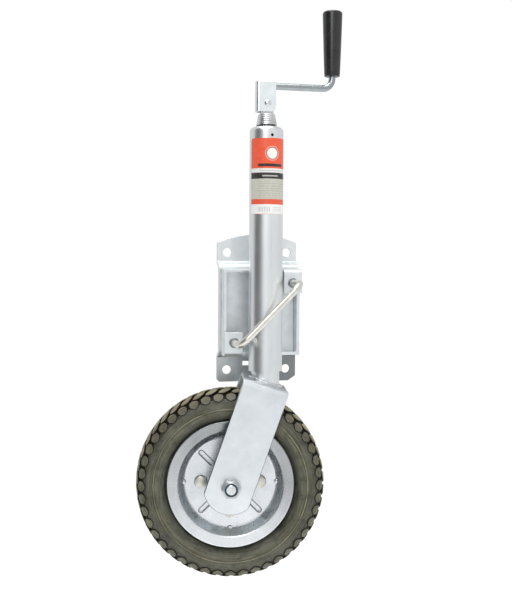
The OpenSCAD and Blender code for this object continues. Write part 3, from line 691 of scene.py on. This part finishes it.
def hex_outline(radius, roundness, count=30):
    """A rounded hexagon, between a sharp one and a circle."""
    points = []
    for k in range(count):
        a = 360.0 * k / count
        sharp = radius * math.cos(math.radians(30)) / math.cos(math.radians(((a + 30.0) % 60) - 30))
        r = sharp * (1 - roundness) + radius * 0.96 * roundness
        points.append((r * math.cos(math.radians(a)), r * math.sin(math.radians(a))))
    return points


def make_tyre():
    shape = Shape()
    front = [(r, d) for r, d in reversed(HALF_SKIN)]
    back = [(r, -d) for r, d in HALF_SKIN[1:]]
    inside = [(r, -d) for r, d in HALF_INSIDE] + [(r, d) for r, d in reversed(HALF_INSIDE[:-1])]
    profile = front + back + inside
    count = len(front) + len(back)
    middle = len(front) - 1
    # the carcass under the tread takes the groove rubber: painted shade in the gaps between the lugs
    kinds = []
    for i in range(len(profile)):
        under_tread = abs(i + 0.5 - middle) < TREAD_EDGE
        kinds.append(GROOVE_SHADE if under_tread and i < count else WALL)
    segments = PITCHES * 5
    rings = []
    for r, d in profile:
        rings.append([(r * math.cos(2 * math.pi * k / segments), r * math.sin(2 * math.pi * k / segments), d)
                      for k in range(segments)])
    shape.rings(rings, closed_through=True, kind=kinds, matrix=WHEEL @ TO_FRONT)
    knob = [(u * 1.02, v * 0.94) for u, v in hex_outline(7.5, 0.35)]
    long_lug = super_outline(6.2, 9.6, 3.4, slant=0.50)
    rib = super_outline(6.4, 3.6, 3.2, slant=0.55)
    pitch = 2 * math.pi / PITCHES
    for k in range(PITCHES):
        a = k * pitch
        for side in (1, -1):
            turn_by = a if side > 0 else a + pitch / 2
            across = [(u, v * side) for u, v in knob]
            lug(shape, turn_by, side * 32.6, across, 2.3, hollow=0.45)
            across = [(u, v * side) for u, v in long_lug]
            lug(shape, turn_by + pitch * 0.45, side * 15.4, across, 3.5)
        lug(shape, a + pitch * 0.2, 0.0, rib, 3.7)
    return shape.done("tread_tyre", "wheel", "tyre_rubber", SIDEWALL, TREAD_TOP, TREAD_GROOVE_SHADE,
                      stands_for=("tyre",), angle=38)


make_tyre()


# ---------------------------------------------------------------- rim, bolts and axle ends
def make_rim_flange(name, node, matrix):
    face = [(60.6, 6.46), (63.0, 6.48), (65.0, 6.52), (65.8, 6.80), (66.4, 7.45), (67.0, 8.6), (70.2, 15.7),
            (73.3, 22.4), (74.0, 23.6), (75.0, 24.35), (76.6, 24.70), (80.5, 25.15), (85.0, 25.85), (87.6, 26.40),
            (88.7, 26.55), (89.5, 26.35), (89.95, 25.7), (89.8, 24.9), (88.9, 24.35)]
    rear = [(85.5, 23.75), (79.5, 22.95), (77.3, 22.5), (76.4, 21.4), (75.6, 19.3), (72.9, 13.2), (69.7, 6.2),
            (69.1, 5.0), (68.2, 4.35), (66.9, 4.1), (63.0, 4.1), (60.6, 4.15)]
    shape = Shape()
    shape.lathe(face + rear, segments=192, matrix=matrix, closed=True)
    for k in range(4):
        shape.lathe([(4.4, 4.3), (4.4, 6.4), (4.0, 7.4), (3.1, 8.2), (1.8, 8.7), (0.0, 8.8)], 28,
                    matrix @ turned(90 * k, "Z") @ at(67.2, 0, 0))
    return shape.done(name, "wheel", "zinc_sheet", ZINC_FLANGE, stands_for=(node,), angle=50)


make_rim_flange("rim_pressing_front", "rim_flange_front", WHEEL @ TO_FRONT)
make_rim_flange("rim_pressing_back", "rim_flange_back", WHEEL @ TO_BACK)


def make_slot_lips():
    """A rolled lip round each slot of the rim's discs, in a dark zinc that is painted shade."""
    for name, facing in (("rim_slot_lips_front", TO_FRONT), ("rim_slot_lips_back", TO_BACK)):
        shape = Shape()
        for k in range(4):
            path = [(58.5 + 3.6 * math.cos(t), 3.6 * math.sin(t), 6.5)
                    for t in [math.radians(-90 + 180 * i / 16) for i in range(17)]]
            path += [(37.0 + 3.6 * math.cos(t), 3.6 * math.sin(t), 6.5)
                     for t in [math.radians(90 + 180 * i / 16) for i in range(17)]]
            shape.loop(path, 0.75, 8, WHEEL @ facing @ turned(45 + 90 * k, "Z"))
        shape.done(name, "wheel", "zinc_sheet", ZINC_SHADE, angle=80)


make_slot_lips()


def make_rim_bolts():
    heads, nuts = Shape(), Shape()
    for k in range(4):
        place = WHEEL @ turned(90 * k, "Y") @ at(42, 0, 0)
        spin = turned(17 + 41 * k, "Z")
        front = place @ TO_FRONT @ at(0, 0, 6.5) @ spin
        heads.polar(hex_rings(16, 0.9, 6.4, chamfer_low=False), matrix=front)
        # a thin ring under each head, in painted shade, outlines it
        heads.lathe([(0.0, 0.0), (9.3, 0.0), (9.6, 0.15), (9.6, 0.45), (0.0, 0.5)], 48, front, kind=1)
        heads.lathe([(0.0, 0.0), (7.4, 0.0), (7.6, 0.2), (7.6, 0.9), (0.0, 0.9)], 48, front)
        heads.lathe([(0.0, 5.9), (4.6, 5.9), (5.0, 6.75), (4.0, 6.95), (0.0, 7.0)], 40, front @ at(0, 0, -0.4))
        heads.lathe([(0.0, 0.2), (5.0, 0.2), (5.0, 8.0)] + threaded(5.0, 8.0, 23.0, 1.5), 40,
                    place @ TO_BACK @ at(0, 0, -6.5))
        back = place @ TO_BACK @ at(0, 0, 6.5) @ spin
        nuts.polar(hex_rings(16, 0.0, 8.0, bore=5.0), matrix=back, capped=False)
    heads.done("rim_bolts_threaded", "wheel", "yellow_zinc", ZINC_BOLT, ZINC_SHADE, stands_for=("rim_bolts",))
    nuts.done("rim_nuts_chamfered", "wheel", "yellow_zinc", ZINC_BOLT, stands_for=("rim_nuts",))


make_rim_bolts()


def make_axle():
    bolt, nut, ring = Shape(), Shape(), Shape()
    front = WHEEL @ TO_FRONT
    back = WHEEL @ TO_BACK
    bolt.lathe([(0.0, -48.0), (8.0, -48.0), (8.0, 44.0)] + threaded(8.0, 44.0, 61.5, 2.0, 1.6), 64, front)
    bolt.polar(hex_rings(24, 48.6, 57.5, chamfer_low=False), matrix=back)
    bolt.lathe([(0.0, 48.0), (11.3, 48.0), (11.6, 48.3), (11.6, 48.8), (0.0, 48.8)], 64, back)
    bolt.done("axle_bolt_threaded", "castor", "bright_steel", STEEL, stands_for=("axle_bolt",))
    nut.polar(hex_rings(24, 48.0, 58.0, bore=8.0), matrix=front, capped=False)
    collar = rounded([(9.42, 57.4), (11.2, 57.4), (10.95, 59.9), (10.0, 60.6), (9.42, 60.4)], 0.5, 3)
    nut.lathe(collar, 72, front, closed=True)
    nut.done("axle_nut_chamfered", "castor", "bright_steel", ZINC_NUT, stands_for=("axle_nut",))
    ring.lathe(rounded([(8.02, 58.2), (8.02, 60.6), (8.5, 61.0), (9.1, 60.9), (9.4, 60.4), (9.4, 58.2)], 0.4, 3), 72,
               front, closed=True)
    ring.done("axle_lock_ring", "castor", "blue_nylon", NYLON, stands_for=("axle_nut_ring",))


make_axle()


# ---------------------------------------------------------------- pivot, welds and label
def make_pivot():
    bolt, nut = Shape(), Shape()
    back = TO_BACK
    head = -TRAY_FRONT
    bolt.lathe([(0.0, head - 4.5), (13.6, head - 4.5), (14.7, head - 3.6), (15.0, head - 2.4),
                (15.0, head), (10.0, head), (10.0, -PLATE_BACK + 0.2), (8.0, -PLATE_BACK + 0.2)]
               + threaded(8.0, -PLATE_BACK + 1.0, -1.5, 2.0), 64, back)
    bolt.done("pivot_bolt_threaded", "jack", "bright_steel", STEEL, stands_for=("pivot_bolt",))
    nut.polar(hex_rings(24, -PLATE_BACK + 2.7, -2.3, bore=8.0), matrix=back, capped=False)
    nut.done("pivot_nut_chamfered", "jack", "bright_steel", STEEL, stands_for=("pivot_nut",))


make_pivot()


def make_eyelets():
    """A rolled eyelet on each tab, where the lock rod passes through, in a dark zinc that is painted shade."""
    shape = Shape()
    for s in (-1, 1):
        shape.lathe(rounded([(5.2, 52.8), (7.2, 52.8), (7.2, 53.4), (6.4, 54.3), (5.2, 54.3)], 0.4, 3), 48,
                    at(s * LOCK_XZ, 0, s * LOCK_XZ) @ TO_FRONT, closed=True)
    shape.done("tab_eyelets", "jack", "zinc_sheet", ZINC_SHADE, angle=60)


make_eyelets()


def beaded(path, radius, every):
    """The rippled radius of a weld bead, by the share of the way along its path."""
    length = sum((Vector(b) - Vector(a)).length for a, b in zip(path, path[1:]))
    waves = max(2, round(length / every))
    return lambda t: radius * (0.86 + 0.14 * abs(math.sin(math.pi * waves * t)) ** 0.6) * (
        1.0 if 0.0 < t < 1.0 else 0.45)


def make_welds():
    shape = Shape()
    for z in (-TRAY_HALF - 1.0, TRAY_HALF + 1.0):
        path = [(25.0 * math.cos(math.radians(a)), 25.0 * math.sin(math.radians(a)), z)
                for a in [62 + 56 * k / 60 for k in range(61)]]
        shape.sweep(path, beaded(path, 2.2, 2.6), 12, TUBE)
    for x in (-28.0, 19.0):
        path = [(x + 9.0 * k / 30, -FLANGE_FRONT, TRAY_HALF - 2.5) for k in range(31)]
        shape.sweep(path, beaded(path, 1.8, 2.3), 12, at())
    shape.done("tube_weld_beads", "jack", "weld_metal", WELD, stands_for=("tube_welds",), angle=80)
    shape = Shape()
    slope = math.tan(math.radians(FORK_LEAN))
    path = []
    for k in range(181):
        a = 2 * math.pi * k / 180
        x, y = 21.6 * math.cos(a), 21.6 * math.sin(a)
        path.append((x, y, -LEAN_TOP - x * slope + 1.0))
    shape.sweep(path, beaded(path, 2.7, 3.0), 14, CASTOR)
    shape.done("fork_weld_bead", "castor", "weld_metal", WELD, stands_for=("fork_weld",), angle=80)


make_welds()


def make_label():
    """A thin sticker round the tube's front, with rounded corners and edges that lie a little uneven."""
    start, span, columns, rows = 196.5, 189.0, 150, 60
    low, high, corner = 140.3, 246.3, 4.0
    shape = Shape()
    layers = []
    for radius in (TUBE_R + 0.03, TUBE_R + 0.20):
        grid = []
        for i in range(columns + 1):
            a = start + span * i / columns
            inset = min(i, columns - i) / columns * span * math.radians(1) * TUBE_R
            cut = corner - math.sqrt(max(0.0, corner ** 2 - (corner - inset) ** 2)) if inset < corner else 0.0
            drift = 0.25 * math.sin(a * 0.045)
            column = []
            for j in range(rows + 1):
                z = low + cut + drift + (high - low - 2 * cut) * j / rows
                ripple = 0.05 * math.sin(z * 0.31 + a * 0.07) * (1 if radius > TUBE_R + 0.1 else 0)
                r = radius + ripple
                column.append((r * math.cos(math.radians(a)), r * math.sin(math.radians(a)), z))
            grid.append(column)
        layers.append(grid)
    inner, outer = layers
    rings = []
    for i in range(columns + 1):
        rings.append(inner[i] + outer[i][::-1])
    shape.rings(rings, closed_round=True, closed_through=False, caps=False, matrix=TUBE)
    for i in (0, columns):
        for j in range(rows):
            quad = [inner[i][j], inner[i][j + 1], outer[i][j + 1], outer[i][j]]
            shape.add(quad, [(0, 1, 2, 3)], matrix=TUBE)
    return shape.done("blank_label", "jack", "label_print", label_print("label_print_finish"),
                      stands_for=("tube_label",), angle=60)


make_label()


# ---------------------------------------------------------------- springs
def helix(radius, low, high, turns, steps=40, closed_ends=0.75):
    """A coil spring's path along +Z, flat at both ends. radius is a function of the height's share."""
    points = []
    total = int(turns * steps)
    for k in range(total + 1):
        turn_no = k / steps
        t = min(1.0, max(0.0, (turn_no - closed_ends) / (turns - 2 * closed_ends)))
        r = radius(t)
        a = 2 * math.pi * turn_no
        points.append((r * math.cos(a), r * math.sin(a), low + (high - low) * t))
    return points


def make_springs():
    shape = Shape()
    path = helix(lambda t: 13.7 - 2.6 * t, TUBE_TOP + 2.7, TUBE_TOP + 17.2, 6.4, closed_ends=0.45)
    shape.sweep(path, 1.35, 14, TUBE)
    shape.done("handle_spring_coil", "screw", "bright_steel", STEEL, stands_for=("handle_spring",), angle=60)
    low, high = 36.5, TAB_BACK
    for number, s in enumerate((-1, 1)):
        coil = Shape()
        path = helix(lambda t: 6.45, low + 0.55, high - 0.55, 6.0, steps=28)
        coil.sweep(path, 0.5, 10, at(s * LOCK_XZ, 0, s * LOCK_XZ) @ TO_FRONT)
        spring = coil.done(f"lock_spring_coil_{number}", "lock", "bright_steel", STEEL, angle=60)
        if number == 0:
            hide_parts("lock_springs")
        spring.parent = None
        spring.matrix_world = Matrix.Identity(4)
        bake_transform(spring)


make_springs()


# ---------------------------------------------------------------- crank
def make_crank():
    rivet = Shape()
    place = TUBE @ at(0, 0, 297.0)
    head = [(0.0, 10.4), (1.4, 10.3), (2.9, 9.8), (4.1, 9.0), (4.8, 8.1), (4.0, 8.0)]
    for side in (TO_FRONT, TO_BACK):
        rivet.lathe(head + [(4.0, 0.0), (0.0, 0.0)], 40, place @ side)
    rivet.done("clevis_rivet_domed", "screw", "bright_steel", STEEL, stands_for=("clevis_rivet",))
    grip = Shape()
    top = 28.5 / 2
    outline = [(4.88, 0.0), (9.9, 0.0), (10.7, 0.35), (11.15, 1.1), (11.25, 2.2), (11.2, 3.2), (11.45, 4.2)]
    for k in range(1, 24):
        t = k / 24
        outline.append((11.45 + (top - 0.1 - 11.45) * t + 0.10 * math.sin(math.pi * t), 4.2 + 82.8 * t))
    outline += [(top, 88.0), (top - 0.15, 89.6), (top - 0.8, 91.1), (top - 1.9, 92.0), (top - 3.2, 92.4),
                (9.6, 92.4), (8.9, 92.1), (8.52, 91.4), (8.52, 84.6), (4.88, 84.6)]
    grip.lathe(outline, 96, TUBE @ at(CRANK_REACH, 0, GRIP_Z), closed=True)
    grip.done("grip_moulded", "grip", "black_plastic", BLACK_PLASTIC, stands_for=("grip",), angle=40)


make_crank()


# ---------------------------------------------------------------- floor, light and camera
def make_stage():
    """A pale floor, low enough for the wheel when it is wound out, that brightens outwards to the white surround."""
    floor_z = cad_box[0][2] - (LIFT_TRAVEL + 2.0) * MM
    sides = 64
    turns = [2 * math.pi * k / sides for k in range(sides)]
    rings = [[(r * math.cos(t), r * math.sin(t), floor_z) for t in turns] for r in (0.001, 0.3, 0.6, 0.9, 1.3)]
    mesh = bpy.data.meshes.new("studio_floor")
    verts = [p for ring in rings for p in ring]
    faces = [(i * sides + k, i * sides + (k + 1) % sides, (i + 1) * sides + (k + 1) % sides, (i + 1) * sides + k)
             for i in range(len(rings) - 1) for k in range(sides)]
    mesh.from_pydata(verts, [], faces + [tuple(range(sides))[::-1]])
    floor = bpy.data.objects.new("studio_floor", mesh)
    scene.collection.objects.link(floor)
    g = Graph("studio_floor_finish", Roughness=0.9)
    g.colour(g.mix(g.noise(0.8, 2.0), (0.84, 0.84, 0.84), (0.87, 0.87, 0.87)))
    x, y, _ = g.split(g.point)
    reach = g.math("SQRT", g.math("ADD", g.math("MULTIPLY", x, x), g.math("MULTIPLY", y, y)))
    g.put((1.0, 1.0, 1.0, 1.0), g.shader.inputs["Emission Color"])
    g.link(g.remap(reach, 0.12, 0.45, 0.14, 0.36), g.shader.inputs["Emission Strength"])
    mesh.materials.append(g.material)


make_stage()


def make_world():
    """A bright tent with one dark flag at the side, which gives the tube its dark line. The camera sees plain white."""
    world = bpy.data.worlds.new("studio_tent")
    scene.world = world
    world.use_nodes = True
    tree = world.node_tree
    tree.nodes.clear()
    link = tree.links.new

    def node(kind, **settings):
        made = tree.nodes.new(kind)
        for key, value in settings.items():
            setattr(made, key, value)
        return made

    out = node("ShaderNodeOutputWorld")
    lit = node("ShaderNodeBackground")
    plain = node("ShaderNodeBackground")
    mix = node("ShaderNodeMixShader")
    path = node("ShaderNodeLightPath")
    split = node("ShaderNodeSeparateXYZ")
    link(node("ShaderNodeTexCoord").outputs["Generated"], split.inputs[0])
    # angle from -Y towards -X
    angle = node("ShaderNodeMath", operation="ARCTAN2")
    for axis, socket in (("X", angle.inputs[0]), ("Y", angle.inputs[1])):
        minus = node("ShaderNodeMath", operation="MULTIPLY")
        minus.inputs[1].default_value = -1.0
        link(split.outputs[axis], minus.inputs[0])
        link(minus.outputs[0], socket)
    turn = node("ShaderNodeMapRange")
    turn.inputs["From Min"].default_value = -math.pi
    turn.inputs["From Max"].default_value = math.pi
    ramp = node("ShaderNodeValToRGB")
    link(angle.outputs[0], turn.inputs["Value"])
    link(turn.outputs[0], ramp.inputs[0])
    stops = [(-180, 0.80), (-100, 0.80), (-58, 0.86), (-40, 0.92), (-22, 0.80), (12, 0.97), (24, 0.88), (38, 0.50),
             (52, 0.16), (94, 0.12), (97, 0.66), (110, 0.82), (180, 0.80)]
    elements = ramp.color_ramp.elements
    while len(elements) < len(stops):
        elements.new(0.5)
    for element, (degrees, value) in zip(elements, stops):
        element.position = (degrees + 180) / 360
        element.color = (value * 0.985, value * 0.995, value, 1.0)
    link(ramp.outputs[0], lit.inputs["Color"])
    lit.inputs["Strength"].default_value = 1.0
    plain.inputs["Color"].default_value = (1.0, 1.0, 1.0, 1.0)
    plain.inputs["Strength"].default_value = 1.02
    link(path.outputs["Is Camera Ray"], mix.inputs[0])
    link(lit.outputs[0], mix.inputs[1])
    link(plain.outputs[0], mix.inputs[2])
    link(mix.outputs[0], out.inputs[0])


make_world()


def softbox(name, place, aim, size, watts, tint=(1.0, 1.0, 1.0)):
    light = bpy.data.lights.new(name, "AREA")
    light.shape = "RECTANGLE"
    light.size, light.size_y = size
    light.energy = watts
    light.color = tint
    obj = bpy.data.objects.new(name, light)
    obj.location = place
    obj.rotation_euler = (Vector(aim) - Vector(place)).to_track_quat("-Z", "Y").to_euler()
    scene.collection.objects.link(obj)


softbox("key_softbox", (-0.75, -1.9, 1.15), (0.0, 0.0, 0.0), (0.9, 0.9), 9.0)
softbox("top_softbox", (-0.2, -0.35, 1.6), (0.0, -0.05, -0.2), (1.0, 1.0), 16.0)


def make_camera():
    """A little above the bracket and to its left, from 1.35 metres."""
    azimuth, pitch, roll = math.radians(12.183), math.radians(-2.203), math.radians(0.324)
    distance, aside, height = 1350.7, -13.65, 74.3
    right = Vector((math.cos(azimuth), -math.sin(azimuth), 0.0))
    ahead = Vector((math.sin(azimuth) * math.cos(pitch), math.cos(azimuth) * math.cos(pitch), math.sin(pitch)))
    level = Vector((math.sin(azimuth), math.cos(azimuth), 0.0))
    place = Vector((0.0, -AXIS_Y, height)) + right * aside - level * distance
    up = right.cross(ahead).normalized()
    data = bpy.data.cameras.new("camera")
    data.lens = 57.25
    data.sensor_width = 36.0
    camera = bpy.data.objects.new("camera", data)
    basis = Matrix((right, up, -ahead)).transposed().to_4x4()
    camera.matrix_world = Matrix.Translation(place * MM) @ basis @ Matrix.Rotation(roll, 4, "Z")
    scene.collection.objects.link(camera)
    scene.camera = camera


make_camera()
scene.view_settings.view_transform = "Standard"
